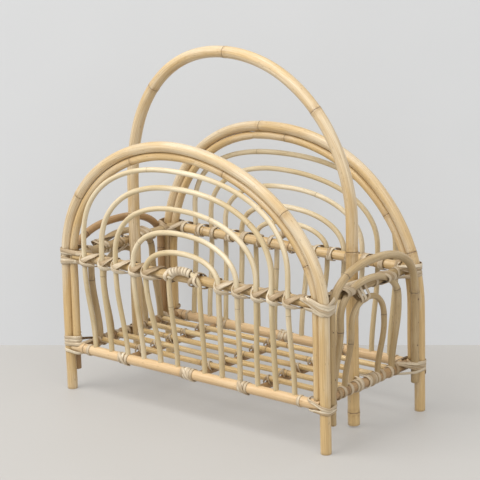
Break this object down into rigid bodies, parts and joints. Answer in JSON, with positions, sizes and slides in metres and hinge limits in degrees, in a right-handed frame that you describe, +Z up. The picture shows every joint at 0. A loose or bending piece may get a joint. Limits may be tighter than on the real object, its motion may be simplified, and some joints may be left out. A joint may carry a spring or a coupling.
{
  "type": "magazine rack",
  "caption": "Low free-standing rattan rack with arched side panels and ends, a slatted floor and a tall hoop handle, for magazines.",
  "frame": {"origin": "on the floor, under the middle of the rack", "axes": "+X along the rack's length, +Y from the front panel to the back panel, +Z up"},
  "size_m": [0.3974, 0.202, 0.4123],
  "materials": {
    "rattan_pole": "satin",
    "peeled_rod": "matte",
    "end_pole": "satin",
    "cane": "satin"
  },
  "bodies": {
    "root": {"back_bar_binding_1": "cane", "back_bar_binding_2": "cane", "back_bar_binding_3": "cane", "back_bottom_rail": "rattan_pole", "back_inner_hoop": "rattan_pole", "back_lacing": "cane", "back_left_bottom_lashing": "cane", "back_left_mid_lashing": "cane", "back_mid_rail": "rattan_pole", "back_outer_hoop": "rattan_pole", "back_right_bottom_lashing": "cane", "back_right_mid_lashing": "cane", "back_rod_arch_1": "peeled_rod", "back_rod_arch_2": "peeled_rod", "back_rod_arch_3": "peeled_rod", "back_rod_arch_4": "peeled_rod", "back_rod_arch_5": "peeled_rod", "back_rod_arch_6": "peeled_rod", "floor_bar_1": "rattan_pole", "floor_bar_2": "rattan_pole", "floor_bar_3": "rattan_pole", "floor_slat_1": "peeled_rod", "floor_slat_2": "peeled_rod", "floor_slat_3": "peeled_rod", "floor_slat_4": "peeled_rod", "floor_slat_5": "peeled_rod", "front_bar_binding_1": "cane", "front_bar_binding_2": "cane", "front_bar_binding_3": "cane", "front_bottom_rail": "rattan_pole", "front_inner_hoop": "rattan_pole", "front_lacing": "cane", "front_left_bottom_lashing": "cane", "front_left_mid_lashing": "cane", "front_mid_rail": "rattan_pole", "front_outer_hoop": "rattan_pole", "front_right_bottom_lashing": "cane", "front_right_mid_lashing": "cane", "front_rod_arch_1": "peeled_rod", "front_rod_arch_2": "peeled_rod", "front_rod_arch_3": "peeled_rod", "front_rod_arch_4": "peeled_rod", "front_rod_arch_5": "peeled_rod", "front_rod_arch_6": "peeled_rod", "handle_hoop": "rattan_pole", "left_end_arch_inner": "end_pole", "left_end_arch_middle": "end_pole", "left_end_arch_outer": "end_pole", "left_end_bottom_rail": "rattan_pole", "left_end_lacing": "cane", "left_end_mid_rail": "rattan_pole", "left_handle_tie": "cane", "right_end_arch_inner": "end_pole", "right_end_arch_middle": "end_pole", "right_end_arch_outer": "end_pole", "right_end_bottom_rail": "rattan_pole", "right_end_lacing": "cane", "right_end_mid_rail": "rattan_pole", "right_handle_tie": "cane"}
  },
  "joints": []
}
